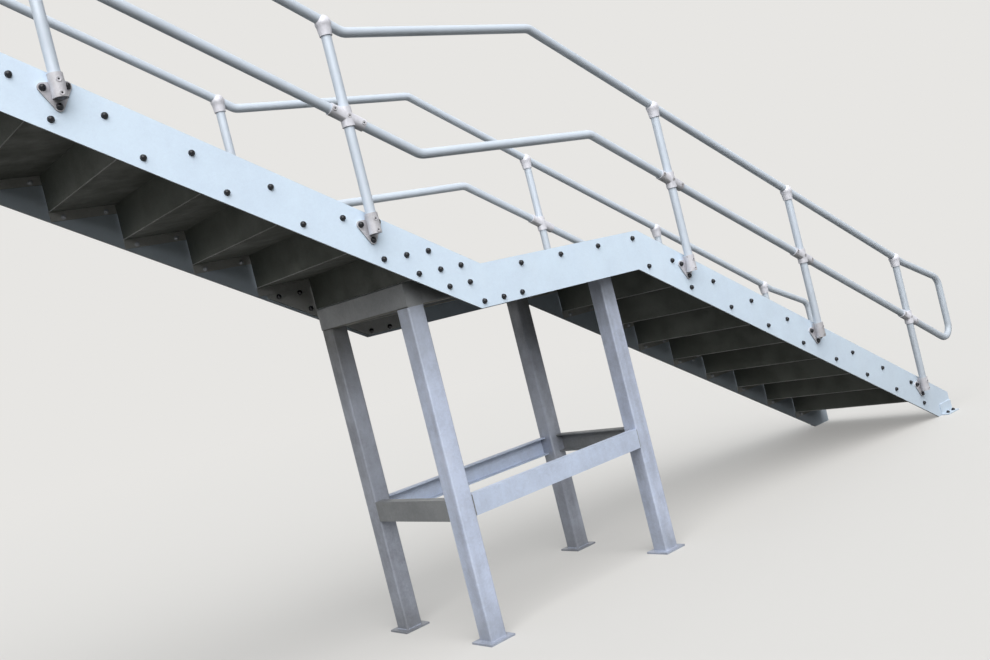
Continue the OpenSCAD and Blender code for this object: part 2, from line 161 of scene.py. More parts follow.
def grid_faces(rows, columns, ends_meet=False):
    """Quads between neighbouring points of a grid that is stored row after row.

    The last column is joined to the first, and the last row too where the ends meet.
    """
    spans = rows if ends_meet else rows - 1
    row, column = np.meshgrid(np.arange(spans), np.arange(columns), indexing="ij")
    above, following = (row + 1) % rows, (column + 1) % columns
    return np.stack(
        [
            row * columns + column,
            row * columns + following,
            above * columns + following,
            above * columns + column,
        ],
        axis=-1,
    ).reshape(-1, 4)


def rounded_path(corners, radius, steps=12):
    """A path in the plane of the stair, as places along it and up, with arcs for corners.

    Each straight ends radius * tan(turn / 2) short of its corner. The arc that follows
    has the points centre + radius (cos a, sin a) at even steps of its angle.
    """
    corners = np.asarray(corners, float)
    spans = np.diff(corners, axis=0)
    ways = spans / np.linalg.norm(spans, axis=1)[:, None]
    headings = np.arctan2(ways[:, 1], ways[:, 0])
    turns = (np.diff(headings) + math.pi) % (2 * math.pi) - math.pi
    parts = [corners[:1]]
    for corner, way, heading, turn in zip(corners[1:-1], ways, headings, turns):
        side = math.copysign(1.0, turn)
        start = corner - radius * math.tan(abs(turn) / 2) * way
        centre = start + side * radius * np.array([-way[1], way[0]])
        angle = heading - side * math.pi / 2 + np.linspace(0.0, turn, steps + 1)
        parts.append(centre + radius * np.stack([np.cos(angle), np.sin(angle)], 1))
    return np.concatenate([*parts, corners[-1:]])


def distances(path):
    """Distance of each point of a path from its start, along it."""
    return np.concatenate([[0.0], np.cumsum(np.linalg.norm(np.diff(path, axis=0), axis=1))])


PATH_SPACING = 0.08
LEAST_SPACING = 0.004


def stretch(path, first, last):
    """The part of a path between two distances along it.

    It keeps the path's own points and has more on the straights, at an even spacing,
    leaving out any that lies within 4 mm of one of the path's own.
    """
    run = distances(path)
    own = run[(run > first + LEAST_SPACING) & (run < last - LEAST_SPACING)]
    even = np.linspace(first, last, max(2, round((last - first) / PATH_SPACING)))[1:-1]
    even = even[np.abs(even[:, None] - np.append(own, first)).min(axis=1) > LEAST_SPACING]
    at = np.sort(np.concatenate([[first], own, even, [last]]))
    return np.stack([np.interp(at, run, path[:, 0]), np.interp(at, run, path[:, 1])], 1)


def ring_row(path, y, radius, sides):
    """Rings round a path: p + r (cos a n + sin a Y) for each point p and angle a.

    n is the path's normal in the plane of the stair, and Y points across the stair.
    """
    way = np.gradient(path, axis=0)
    way /= np.linalg.norm(way, axis=1)[:, None]
    angle = np.arange(sides) * 2 * math.pi / sides
    x = path[:, :1] - radius * np.cos(angle) * way[:, 1:] + ORIGIN_SHIFT
    z = path[:, 1:] + radius * np.cos(angle) * way[:, :1]
    across = np.broadcast_to(y + radius * np.sin(angle), x.shape)
    return np.stack([x, across, z], -1)


def tube_along(path, y, sides=36):
    """A steel tube along a path: the outer wall forwards, then the bore back to its start."""
    outer = ring_row(path, y, TUBE / 2, sides)
    bore = ring_row(path, y, TUBE / 2 - TUBE_WALL, sides)
    rings = np.concatenate([outer, bore[::-1]])
    return rings.reshape(-1, 3), grid_faces(len(rings), sides, ends_meet=True).tolist()


def end_caps(rings, sides):
    """Flat polygons that close the first and the last ring of a grid."""
    last = (rings - 1) * sides
    return [list(range(sides))[::-1], list(range(last, last + sides))]


def turned(profile, sides):
    """A surface of revolution, closed at both ends by a flat polygon.

    For each profile point (r, h) and each angle a the surface point is
    (r cos a, r sin a, h). The profile runs from the bottom to the top.
    """
    profile = np.asarray(profile, float)
    angle = np.arange(sides) * 2 * math.pi / sides
    radius, height = profile[:, :1], profile[:, 1:]
    x, y = radius * np.cos(angle), radius * np.sin(angle)
    points = np.stack([x, y, np.broadcast_to(height, x.shape)], -1).reshape(-1, 3)
    return points, grid_faces(len(profile), sides).tolist() + end_caps(len(profile), sides)


def stamped(shape, places, axes):
    """Copies of one shape, each put at its place and turned to its own axes.

    A point p of the shape becomes place + x p.x + y p.y + z p.z, worked out for
    all copies at once, and the faces are counted on by the points of one copy.
    """
    points, faces = shape
    places = np.asarray(places, float)
    copies = places[:, None, :] + np.einsum("pk,ckj->cpj", points, axes)
    counted = [
        [index + copy * len(points) for index in face]
        for copy in range(len(places))
        for face in faces
    ]
    return copies.reshape(-1, 3), counted


def joined(*shapes):
    """Several shapes as one list of points and one of faces."""
    points, faces, count = [], [], 0
    for shape_points, shape_faces in shapes:
        points.append(np.asarray(shape_points, float))
        faces += [[index + count for index in face] for face in shape_faces]
        count += len(shape_points)
    return np.concatenate(points), faces


def facing(side, count):
    """Axes of parts that face out of a stringer: x along the stair, z outwards."""
    out = np.array([0.0, side, 0.0])
    along = np.array([1.0, 0.0, 0.0])
    return np.tile(np.stack([along, np.cross(out, along), out]), (count, 1, 1))


def upward(count):
    """Axes of parts that stand upright."""
    return np.tile(np.eye(3), (count, 1, 1))


SHARP_FROM = math.radians(38.0)


def piece(name, shape, material):
    """A mesh object of the given points and faces that rides on the one body.
    """
    points, faces = shape
    mesh = bpy.data.meshes.new(name)
    mesh.from_pydata(points.tolist(), [], faces)
    mesh.materials.append(material)
    mesh.polygons.foreach_set("use_smooth", np.ones(len(mesh.polygons), bool))
    mesh.set_sharp_from_angle(angle=SHARP_FROM)
    mesh.update()
    made = bpy.data.objects.new(name, mesh)
    bpy.context.scene.collection.objects.link(made)
    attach(made, "root")
    return made


# Shader nodes


def put(tree, kind, inputs=None, **settings):
    """Adds a node, applies its settings, and links or writes each input."""
    made = tree.nodes.new(kind)
    for key, value in settings.items():
        setattr(made, key, value)
    for key, value in (inputs or {}).items():
        if isinstance(value, bpy.types.NodeSocket):
            tree.links.new(value, made.inputs[key])
        else:
            made.inputs[key].default_value = value
    return made


def calc(tree, operation, *values):
    """Output of a Math node, by its operation, over up to three values."""
    return put(tree, "ShaderNodeMath", dict(enumerate(values)), operation=operation).outputs[0]


def between(tree, value, low, high, to_low=0.0, to_high=1.0):
    """Smooth step of a value from one range to another."""
    inputs = {
        "Value": value,
        "From Min": low,
        "From Max": high,
        "To Min": to_low,
        "To Max": to_high,
    }
    return put(
        tree, "ShaderNodeMapRange", inputs, interpolation_type="SMOOTHSTEP"
    ).outputs[0]


def blended(tree, factor, first, second):
    """Colour from the first to the second by a factor."""
    inputs = {0: factor, 6: first, 7: second}
    return put(tree, "ShaderNodeMix", inputs, data_type="RGBA").outputs[2]


def cloud(tree, vector, scale, detail=4.0, rough=0.55):
    """Value of a noise texture."""
    inputs = {"Vector": vector, "Scale": scale, "Detail": detail, "Roughness": rough}
    return put(tree, "ShaderNodeTexNoise", inputs).outputs[0]


def stretched(tree, vector, scale, place=(0.0, 0.0, 0.0)):
    """A vector moved and then scaled along each axis."""
    inputs = {"Vector": vector, "Location": place, "Scale": scale}
    return put(tree, "ShaderNodeMapping", inputs).outputs[0]


def group(name, inputs, outputs):
    """An empty shader node group with named sockets.

    Each input has a value of its own, apart from those that every material gives.
    """
    tree = bpy.data.node_groups.new(name, "ShaderNodeTree")
    for label, kind, value in inputs:
        socket = tree.interface.new_socket(label, in_out="INPUT", socket_type=kind)
        if value is not None:
            socket.default_value = value
    for label, kind in outputs:
        tree.interface.new_socket(label, in_out="OUTPUT", socket_type=kind)
    given = tree.nodes.new("NodeGroupInput").outputs
    return tree, given, tree.nodes.new("NodeGroupOutput").inputs


FLOAT, COLOUR, VECTOR = "NodeSocketFloat", "NodeSocketColor", "NodeSocketVector"

# How often each pattern comes in a metre, along every axis or along x, y and z

CRYSTAL_SCALE = 85.0
GRAIN_SCALE = 160.0
LARGE_PATCH_SCALE = 1.6
SMALL_PATCH_SCALE = 9.0
STREAK_SCALES = (11.0, 11.0, 0.7)
BLOOM_SCALES = (5.0, 5.0, 2.2)
BLOOM_PLACE = (3.7, 1.9, 8.3)
BLOTCH_SCALE = 7.0
SPECK_SCALE = 38.0
DUST_SCALE = 90.0
MOULDED_SCALE = 500.0

# How far painted shade is seen inside a stringer's inner face, where it starts and where it is
# full

INNER_SHADE_FROM = INNER + 0.004
INNER_SHADE_FULL = INNER + 0.001


def zinc_group():
    """Weathered zinc: crystals, grain, patches and rain streaks over two tones, and bloom.

    Each value of an input here is what a finish has unless it names another.
    """
    tree, given, out = group(
        "zinc_face",
        [
            ("Vector", VECTOR, None),
            ("Pale", COLOUR, None),
            ("Dark", COLOUR, None),
            ("Bloom", COLOUR, None),
            ("Crystals", FLOAT, 0.16),
            ("Grain", FLOAT, 0.25),
            ("Patches", FLOAT, 0.35),
            ("Streaks", FLOAT, 0.25),
            ("Bloom amount", FLOAT, 0.25),
            ("Smooth", FLOAT, 0.42),
            ("Rough", FLOAT, 0.62),
        ],
        [("Color", COLOUR), ("Roughness", FLOAT), ("Height", FLOAT)],
    )
    place = given["Vector"]
    cells = put(tree, "ShaderNodeTexVoronoi", {"Vector": place, "Scale": CRYSTAL_SCALE})
    crystal = put(tree, "ShaderNodeSeparateColor", {0: cells.outputs["Color"]}).outputs[0]
    large = cloud(tree, place, LARGE_PATCH_SCALE, 6.0, 0.6)
    middle = cloud(tree, place, SMALL_PATCH_SCALE, 5.0, 0.6)
    grain = cloud(tree, place, GRAIN_SCALE, 2.0, 0.5)
    runs = cloud(tree, stretched(tree, place, STREAK_SCALES), 1.0, 3.0, 0.5)
    patch = calc(tree, "MULTIPLY_ADD", large, 0.6, calc(tree, "MULTIPLY", middle, 0.4))
    patch = between(tree, patch, 0.36, 0.64)
    streak = between(tree, runs, 0.38, 0.68)
    tone = calc(tree, "MULTIPLY", patch, given["Patches"])
    tone = calc(tree, "MULTIPLY_ADD", streak, given["Streaks"], tone)
    for fine, amount in ((crystal, given["Crystals"]), (grain, given["Grain"])):
        tone = calc(tree, "MULTIPLY_ADD", calc(tree, "SUBTRACT", fine, 0.5), amount, tone)
    tone = calc(tree, "MAXIMUM", calc(tree, "MINIMUM", tone, 1.0), 0.0)
    face = blended(tree, tone, given["Pale"], given["Dark"])
    shifted = stretched(tree, place, BLOOM_SCALES, BLOOM_PLACE)
    clouds = cloud(tree, shifted, 1.0, 6.0, 0.66)
    bloom = calc(tree, "MULTIPLY", between(tree, clouds, 0.52, 0.68), given["Bloom amount"])
    tree.links.new(blended(tree, bloom, face, given["Bloom"]), out["Color"])
    dull = calc(tree, "MULTIPLY_ADD", patch, 0.5, calc(tree, "MULTIPLY", grain, 0.5))
    rough = between(tree, dull, 0.2, 0.8, given["Smooth"], given["Rough"])
    tree.links.new(rough, out["Roughness"])
    lift = calc(tree, "MULTIPLY_ADD", crystal, 0.25, calc(tree, "MULTIPLY", grain, 0.4))
    tree.links.new(calc(tree, "MULTIPLY_ADD", middle, 0.6, lift), out["Height"])
    return tree


def soil_and_shade_group():
    """Darkening towards one colour: grime and painted shade on undersides, darker towards the
    bottom, dirt in specks, and painted shade between the stringers and under a landing.

    Each value of an input here is what a finish has unless it names another.
    """
    tree, given, out = group(
        "soil_and_painted_shade",
        [
            ("Vector", VECTOR, None),
            ("Color", COLOUR, None),
            ("Soil", COLOUR, (0.10, 0.095, 0.075, 1.0)),
            ("Under", FLOAT, 0.35),
            ("Reach", FLOAT, 0.25),
            ("Low", FLOAT, 0.35),
            ("Specks", FLOAT, 0.10),
            ("Inside", FLOAT, 0.0),
            ("Shelter", FLOAT, 0.0),
            ("Shelter top", FLOAT, 10.0),
        ],
        [("Color", COLOUR), ("Mask", FLOAT)],
    )
    place = given["Vector"]
    parts = put(tree, "ShaderNodeSeparateXYZ", {0: place}).outputs
    height = parts[2]
    normal = put(tree, "ShaderNodeNewGeometry").outputs["Normal"]
    lean = put(tree, "ShaderNodeSeparateXYZ", {0: normal}).outputs[2]
    blotch = cloud(tree, place, BLOTCH_SCALE, 6.0, 0.62)
    # Faces that point down: partly grime, partly painted shade
    under = between(tree, calc(tree, "MULTIPLY", lean, -1.0), 0.15, 0.8)
    under = calc(tree, "MULTIPLY", under, given["Under"])
    under = calc(tree, "MULTIPLY", under, between(tree, blotch, 0.25, 0.6, 0.86, 1.0))
    edge = calc(tree, "DIVIDE", height, given["Reach"])
    edge = calc(tree, "MULTIPLY_ADD", blotch, 0.35, edge)
    low = calc(tree, "MULTIPLY", between(tree, edge, 1.05, 0.1), given["Low"])
    speck = between(tree, cloud(tree, place, SPECK_SCALE, 6.0, 0.75), 0.62, 0.74)
    speck = calc(tree, "MULTIPLY", speck, given["Specks"])
    # Painted shade under a landing: full just below it, fading out lower down, with a ragged edge
    below = calc(tree, "SUBTRACT", given["Shelter top"], height)
    ragged = calc(tree, "MULTIPLY_ADD", blotch, 0.30, below)
    high = calc(tree, "MULTIPLY", between(tree, ragged, 0.85, 0.15), given["Shelter"])
    # Painted shade on the stringers' inner faces
    inner = calc(tree, "ABSOLUTE", parts[1])
    inner = between(tree, inner, INNER_SHADE_FROM, INNER_SHADE_FULL)
    inner = calc(tree, "MULTIPLY", inner, given["Inside"])
    mask = under
    for other in (low, speck, high, inner):
        mask = calc(tree, "MAXIMUM", mask, other)
    tree.links.new(mask, out["Mask"])
    tree.links.new(blended(tree, mask, given["Color"], given["Soil"]), out["Color"])
    return tree


ZINC = zinc_group()
SOIL_AND_SHADE = soil_and_shade_group()


def steel(name, pale, dark, bloom, metallic, bump=0.10, **tuning):
    """Galvanised steel: the zinc group, and the group of soil and painted shade, in front of one
    metal shader.

    The tuning names inputs of either group, with an underscore for each space.
    """
    material = bpy.data.materials.new(name)
    material.use_nodes = True
    tree = material.node_tree
    shader = tree.nodes["Principled BSDF"]
    place = put(tree, "ShaderNodeTexCoord").outputs["Object"]
    zinc = put(
        tree,
        "ShaderNodeGroup",
        node_tree=ZINC,
        inputs={"Vector": place, "Pale": pale, "Dark": dark, "Bloom": bloom},
    )
    soil_shade_node = put(
        tree,
        "ShaderNodeGroup",
        node_tree=SOIL_AND_SHADE,
        inputs={"Vector": place, "Color": zinc.outputs["Color"]},
    )
    for key, value in tuning.items():
        label = key.replace("_", " ").capitalize()
        owner = soil_shade_node if label in soil_shade_node.inputs else zinc
        owner.inputs[label].default_value = value
    tree.links.new(soil_shade_node.outputs["Color"], shader.inputs["Base Color"])
    dulled = calc(tree, "MULTIPLY_ADD", soil_shade_node.outputs["Mask"], 0.25, zinc.outputs["Roughness"])
    tree.links.new(dulled, shader.inputs["Roughness"])
    shader.inputs["Metallic"].default_value = metallic
    relief = put(
        tree,
        "ShaderNodeBump",
        {"Height": zinc.outputs["Height"], "Strength": bump, "Distance": 0.001},
    )
    tree.links.new(relief.outputs[0], shader.inputs["Normal"])
    return material


# Stringers: painted shade on faces that point down and on the inner faces, and darker towards the
# bottom
plate_steel = steel(
    "pale_plate_steel",
    (0.70, 0.83, 0.97, 1.0),
    (0.56, 0.65, 0.78, 1.0),
    (0.75, 0.86, 0.98, 1.0),
    metallic=0.1,
    Streaks=0.06,
    Patches=0.30,
    Crystals=0.10,
    Soil=(0.20, 0.195, 0.185, 1.0),
    Under=0.95,
    Reach=2.6,
    Low=0.33,
    Inside=0.50,
    Smooth=0.5,
    Rough=0.7,
)
# Treads, landings and splice plates: the near-black colour on faces that point down is painted
# shade, with some grime
sheet_steel = steel(
    "folded_sheet_steel",
    (0.46, 0.46, 0.45, 1.0),
    (0.26, 0.26, 0.25, 1.0),
    (0.50, 0.50, 0.48, 1.0),
    metallic=0.1,
    Streaks=0.10,
    Bloom_amount=0.12,
    Soil=(0.030, 0.034, 0.026, 1.0),
    Under=0.97,
    Smooth=0.5,
    Rough=0.75,
)
# Risers: nearly black, which is painted shade under the stair
riser_shade_steel = steel(
    "riser_sheet_painted_shade",
    (0.105, 0.115, 0.100, 1.0),
    (0.070, 0.077, 0.062, 1.0),
    (0.13, 0.137, 0.123, 1.0),
    metallic=0.1,
    Streaks=0.12,
    Bloom_amount=0.10,
    Smooth=0.5,
    Rough=0.75,
)


def leg_finish(name, pale, dark, bloom, landing_shade, shade_top):
    """Steel of the square legs, darkened towards the soil colour as painted shade under a landing.
    """
    return steel(
        name,
        pale,
        dark,
        bloom,
        metallic=0.3,
        Streaks=0.38,
        Patches=0.48,
        Bloom_amount=0.40,
        Specks=0.12,
        Smooth=0.30,
        Rough=0.50,
        Shelter=landing_shade,
        Shelter_top=shade_top,
    )


brace_steel = steel(
    "brace_steel",
    (0.56, 0.64, 0.80, 1.0),
    (0.38, 0.42, 0.52, 1.0),
    (0.62, 0.68, 0.80, 1.0),
    metallic=0.25,
    Streaks=0.20,
    Patches=0.50,
    Under=0.85,
    Specks=0.25,
)
# Beams, short braces and their welds: a darker copy of the leg and brace steel, as painted shade
painted_shade_steel = steel(
    "beam_steel_painted_shade",
    (0.235, 0.245, 0.255, 1.0),
    (0.135, 0.138, 0.138, 1.0),
    (0.31, 0.32, 0.34, 1.0),
    metallic=0.2,
    Streaks=0.08,
    Patches=0.3,
    Under=0.9,
    Specks=0.20,
)
tube_steel = steel(
    "tube_steel",
    (0.60, 0.67, 0.76, 1.0),
    (0.46, 0.51, 0.58, 1.0),
    (0.68, 0.73, 0.82, 1.0),
    metallic=0.1,
    bump=0.01,
    Crystals=0.02,
    Grain=0.02,
    Streaks=0.10,
    Under=0.30,
    Reach=2.6,
    Smooth=0.40,
    Rough=0.58,
)
cast_steel = steel(
    "cast_fitting_steel",
    (0.78, 0.78, 0.85, 1.0),
    (0.46, 0.46, 0.49, 1.0),
    (0.84, 0.84, 0.90, 1.0),
    metallic=0.1,
    bump=0.30,
    Patches=0.45,
    Specks=0.40,
    Under=0.45,
)
soiled_cast_steel = steel(
    "soiled_fitting_steel",
    (0.66, 0.66, 0.71, 1.0),
    (0.32, 0.31, 0.32, 1.0),
    (0.76, 0.76, 0.80, 1.0),
    metallic=0.1,
    bump=0.35,
    Patches=0.65,
    Specks=0.75,
    Under=0.7,
)
bolt_steel = steel(
    "bolt_steel",
    (0.50, 0.52, 0.56, 1.0),
    (0.30, 0.31, 0.33, 1.0),
    (0.60, 0.61, 0.64, 1.0),
    metallic=0.5,
    Smooth=0.3,
    Rough=0.5,
)


def cap_plastic():
    """Black moulded caps, dusty on the faces that point up."""
    material = bpy.data.materials.new("black_cap")
    material.use_nodes = True
    tree = material.node_tree
    shader = tree.nodes["Principled BSDF"]
    place = put(tree, "ShaderNodeTexCoord").outputs["Object"]
    normal = put(tree, "ShaderNodeNewGeometry").outputs["Normal"]
    lean = put(tree, "ShaderNodeSeparateXYZ", {0: normal}).outputs[2]
    dust = cloud(tree, place, DUST_SCALE, 5.0, 0.7)
    dust = calc(tree, "MULTIPLY", between(tree, lean, 0.2, 0.95), dust)
    face = blended(
        tree,
        calc(tree, "MULTIPLY", dust, 0.10),
        (0.007, 0.008, 0.012, 1.0),
        (0.12, 0.12, 0.13, 1.0),
    )
    tree.links.new(face, shader.inputs["Base Color"])
    tree.links.new(between(tree, dust, 0.0, 0.6, 0.12, 0.35), shader.inputs["Roughness"])
    shader.inputs["Specular IOR Level"].default_value = 0.35
    relief = put(
        tree,
        "ShaderNodeBump",
        {"Height": cloud(tree, place, MOULDED_SCALE, 2.0), "Strength": 0.08, "Distance": 0.0005},
    )
    tree.links.new(relief.outputs[0], shader.inputs["Normal"])
    return material


black_cap = cap_plastic()

# Finishes of the solids, each by the first key that a node's name starts with

FINISHES = {
    "stringer": plate_steel,
    "splice": sheet_steel,
    "treads": sheet_steel,
    "risers": riser_shade_steel,
    "landing": sheet_steel,
    "floor": plate_steel,
    "beam": painted_shade_steel,
    "braces_mid_long": brace_steel,
    "braces_top_long": brace_steel,
    "braces": painted_shade_steel,
    "top_rail": tube_steel,
    "mid_rail": tube_steel,
    "posts": tube_steel,
    "base_fittings": soiled_cast_steel,
    "cross_fittings": cast_steel,
    "top_fittings": cast_steel,
}

# Pale, dark and bloom of the legs on each side, the far side's a darker copy as painted shade, and
# how much painted shade they get under a landing

LEG_TONES_AND_SHADE = {
    "near": ((0.58, 0.65, 0.82, 1.0), (0.33, 0.36, 0.44, 1.0), (0.68, 0.73, 0.88, 1.0), 0.50),
    "far": ((0.40, 0.43, 0.51, 1.0), (0.20, 0.21, 0.24, 1.0), (0.50, 0.54, 0.64, 1.0), 0.85),
}
for trestle, landing_height in (("mid", MID_Z), ("top", TOP_Z)):
    for side, look in LEG_TONES_AND_SHADE.items():
        FINISHES[f"legs_{trestle}_{side}"] = leg_finish(
            f"{side}_{trestle}_leg_steel_and_shade", *look, landing_height
        )

# Solids come as loose triangles: their points are merged, the beams' ends rounded, and
# the sharp edges split

WELD_WITHIN = 0.00002
END_ROUNDING = 0.009
ROUND_FROM = math.radians(50.0)
SPLIT_FROM = math.radians(32.0)

for name, solid in nodes.items():
    finish = next(FINISHES[key] for key in FINISHES if name.startswith(key))
    solid.data.materials.clear()
    solid.data.materials.append(finish)
    solid.data.polygons.foreach_set("use_smooth", np.ones(len(solid.data.polygons), bool))
    weld = solid.modifiers.new("weld", "WELD")
    weld.merge_threshold = WELD_WITHIN
    if name.startswith("beam_"):
        round_off = solid.modifiers.new("ends", "BEVEL")
        round_off.width = END_ROUNDING
        round_off.segments = 3
        round_off.limit_method = "ANGLE"
        round_off.angle_limit = ROUND_FROM
    split = solid.modifiers.new("edges", "EDGE_SPLIT")
    split.split_angle = SPLIT_FROM

# Rails and posts: one tube through all its bends, in place of each jointed solid


def socket_stop(pitch):
    """How far a rail stops short of the axis of a post it is socketed to."""
    return (TUBE / 2 + CLEARANCE + TUBE / 2 * np.sin(pitch)) / np.cos(pitch)


top_run = (TOP_OVER_LANDING - TOP_OVER_STEPS) / SLOPE
mid_run = (MID_OVER_LANDING - MID_OVER_STEPS) / SLOPE
foot_joint = POSTS[-1] + socket_stop(PITCH) * math.cos(PITCH)
last_bend = POSTS[-1] + CROSS_REACH
UPPER_MID, UPPER_TOP = TOP_Z + MID_OVER_LANDING, TOP_Z + TOP_OVER_LANDING


def top_rail_at(x):
    """Height of the top rail at one place."""
    return float(rail_height(x, TOP_OVER_STEPS, TOP_OVER_LANDING))


def mid_rail_at(x):
    """Height of the middle rail at one place."""
    return float(rail_height(x, MID_OVER_STEPS, MID_OVER_LANDING))


top_rail_path = rounded_path(
    [
        (POSTS[0] - socket_stop(0.0), UPPER_MID),
        (UPPER_END, UPPER_MID),
        (UPPER_END, UPPER_TOP),
        (TOP_BEND - top_run, UPPER_TOP),
        (-MID_LENGTH - top_run, MID_Z + TOP_OVER_LANDING),
        (-top_run, MID_Z + TOP_OVER_LANDING),
        (last_bend, top_rail_at(last_bend)),
        (RAIL_END, top_rail_at(RAIL_END) + RAIL_END_LIFT),
        (RAIL_END, mid_rail_at(RAIL_END)),
        (foot_joint, mid_rail_at(foot_joint)),
    ],
    RAIL_BEND,
)
mid_rail_path = rounded_path(
    [
        (POSTS[0], UPPER_MID),
        (TOP_BEND - mid_run, UPPER_MID),
        (-MID_LENGTH - mid_run, MID_Z + MID_OVER_LANDING),
        (-mid_run, MID_Z + MID_OVER_LANDING),
        (POSTS[-1], mid_rail_at(POSTS[-1])),
    ],
    RAIL_BEND,
)


def whole(path):
    """All of a path, with more points on its straights."""
    return stretch(path, 0.0, distances(path)[-1])


def mid_rail_lengths(y):
    """The middle rail: a length between each two posts, that stops inside their sockets."""
    at = np.interp(POSTS, mid_rail_path[:, 0], distances(mid_rail_path))
    stops = socket_stop(rail_pitch(POSTS, MID_OVER_STEPS, MID_OVER_LANDING))
    return [
        tube_along(stretch(mid_rail_path, first, last), y)
        for first, last in zip((at + stops)[:-1], (at - stops)[1:])
    ]


def post_tubes(y):
    """Each post, from inside its base socket up to just under the top rail."""
    low = stair_edge(POSTS) - SOCKET_DROP + POST_LIFT
    short = TUBE / 2 / math.cos(PITCH) + TUBE / 2 * math.tan(PITCH) + CLEARANCE
    high = rail_height(POSTS, TOP_OVER_STEPS, TOP_OVER_LANDING) - short
    return [
        tube_along(whole(np.array([(x, bottom), (x, top)])), y)
        for x, bottom, top in zip(POSTS, low, high)
    ]


for label, side in SIDES:
    y = side * RAIL_Y
    for kind, shape in (
        ("top_rail", tube_along(whole(top_rail_path), y)),
        ("mid_rail", joined(*mid_rail_lengths(y))),
        ("posts", joined(*post_tubes(y))),
    ):
        made = piece(f"{kind}_{label}_tube", shape, tube_steel)
        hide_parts(f"{kind}_{label}")

# Places of the bolts, along the stair and up

numbers = np.array([*range(1, STEPS), *range(STEPS + 1, 2 * STEPS)])
nosings = (STEPS - numbers) * GOING - SETBACK - np.where(numbers > STEPS, MID_LENGTH, 0.0)
surfaces = numbers * RISE
SPLICED = STEPS + 1
BOLT_DROP = 0.034
BACK_BOLT = 0.286
FRONT_BOLT = 0.078


def tread_bolts(kept, setback):
    """A bolt at each kept tread, at one distance behind its nosing."""
    return np.stack([nosings[kept] - setback, surfaces[kept] - BOLT_DROP], 1)


# The splice's bolts stand in for those of one tread, and the lowest has one on each side
step_bolts = np.concatenate(
    [
        tread_bolts(numbers != SPLICED, BACK_BOLT),
        tread_bolts((numbers != SPLICED) & (numbers > 1), FRONT_BOLT),
    ]
)

# Bolts along the middle landing, and along the top one from the upper bend on
MID_LANDING_BOLTS = np.array([-0.919, -0.630, -0.340, -0.053])
TOP_LANDING_BOLTS = TOP_BEND + np.linspace(-1.500, -0.053, 6)
LANDING_BOLT_DROP = 0.040
landing_bolts = np.concatenate(
    [
        np.stack([along, np.full(len(along), level - LANDING_BOLT_DROP)], 1)
        for along, level in ((MID_LANDING_BOLTS, MID_Z), (TOP_LANDING_BOLTS, TOP_Z))
    ]
)
splice_bolts = np.array(
    [
        (-1.742, 1.931), (-1.611, 1.931), (-1.481, 1.931),
        (-1.567, 1.832), (-1.436, 1.832), (-1.308, 1.832),
        (-1.407, 1.741), (-1.277, 1.741),
        (-1.217, 1.632), (-1.088, 1.632), (-0.960, 1.632),
    ]
)

# The three bolts of a base fitting: place from the post, and drop below the stringer's edge
BASE_BOLTS = ((-0.047, 0.052), (0.047, 0.052), (0.0, 0.131))
post_bolts = np.concatenate(
    [np.stack([POSTS + shift, stair_edge(POSTS) - drop], 1) for shift, drop in BASE_BOLTS]
)


def on_side(places, side, y):
    """Places in the plane of a stringer, given along the stair and up, in the frame."""
    across = np.full(len(places), side * y)
    return np.stack([places[:, 0] + ORIGIN_SHIFT, across, places[:, 1]], 1)


# Black domed caps over the bolts, each with a thin brim

CAP_RADIUS = 0.0130
CAP_BRIM = 0.0144
CAP_STRAIGHT = 0.0050
CAP_DOME = 0.0115
CAP_PROFILE = [
    (CAP_BRIM, -0.0004),
    (CAP_BRIM, 0.0010),
    (CAP_RADIUS, 0.0018),
    (CAP_RADIUS, CAP_STRAIGHT),
    *(
        (CAP_RADIUS * math.cos(a), CAP_STRAIGHT + CAP_DOME * math.sin(a))
        for a in np.radians([12, 26, 40, 54, 68, 80])
    ),
]
PLATE_OUT = 0.008
cap_shape = turned(CAP_PROFILE, 28)
plain_bolts = np.concatenate([step_bolts, landing_bolts, splice_bolts])

for label, side in SIDES:
    spots = np.concatenate(
        [
            on_side(plain_bolts, side, HALF),
            on_side(post_bolts, side, HALF + PLATE_OUT),
            on_side(splice_bolts, side, SPLICE_FACE),
        ]
    )
    axes = facing(side, len(spots))
    axes[-len(splice_bolts):] = facing(-side, len(splice_bolts))
    piece(f"bolt_caps_{label}", stamped(cap_shape, spots, axes), black_cap)

# Set screws of the fittings: a raised ring round a black six-sided disc, painted shade of the
# screw's socket

RING_PROFILE = [
    (0.0118, -0.0030),
    (0.0118, 0.0002),
    (0.0104, 0.0013),
    (0.0056, 0.0013),
    (0.0038, 0.0003),
]
ring_shape = turned(RING_PROFILE, 24)
HOLE_SHADE_THICKNESS = 0.0006
hole_shade_shape = turned([(0.0040, 0.0), (0.0040, HOLE_SHADE_THICKNESS)], 6)
SCREW_HEIGHTS = (0.014, 0.067)
SCREW_REACH = 0.078

socket_low = stair_edge(POSTS) - SOCKET_DROP
cross_z = rail_height(POSTS, MID_OVER_STEPS, MID_OVER_LANDING)
cross_pitch = rail_pitch(POSTS, MID_OVER_STEPS, MID_OVER_LANDING)
screw_places = np.concatenate(
    [np.stack([POSTS, socket_low + height], 1) for height in SCREW_HEIGHTS]
    + [
        np.stack([POSTS + reach * np.cos(cross_pitch), cross_z - reach * np.sin(cross_pitch)], 1)
        for reach in (-SCREW_REACH, 0.0, SCREW_REACH)
    ]
)

for label, side in SIDES:
    spots = on_side(screw_places, side, RAIL_Y + SOCKET_RADIUS)
    axes = facing(side, len(spots))
    piece(f"set_screw_rings_{label}", stamped(ring_shape, spots, axes), soiled_cast_steel)
    lifted = spots + np.array([0.0, side * HOLE_SHADE_THICKNESS, 0.0])
    piece(f"set_screw_hole_shade_{label}", stamped(hole_shade_shape, lifted, axes), black_cap)

# Floor bolts through the cleats

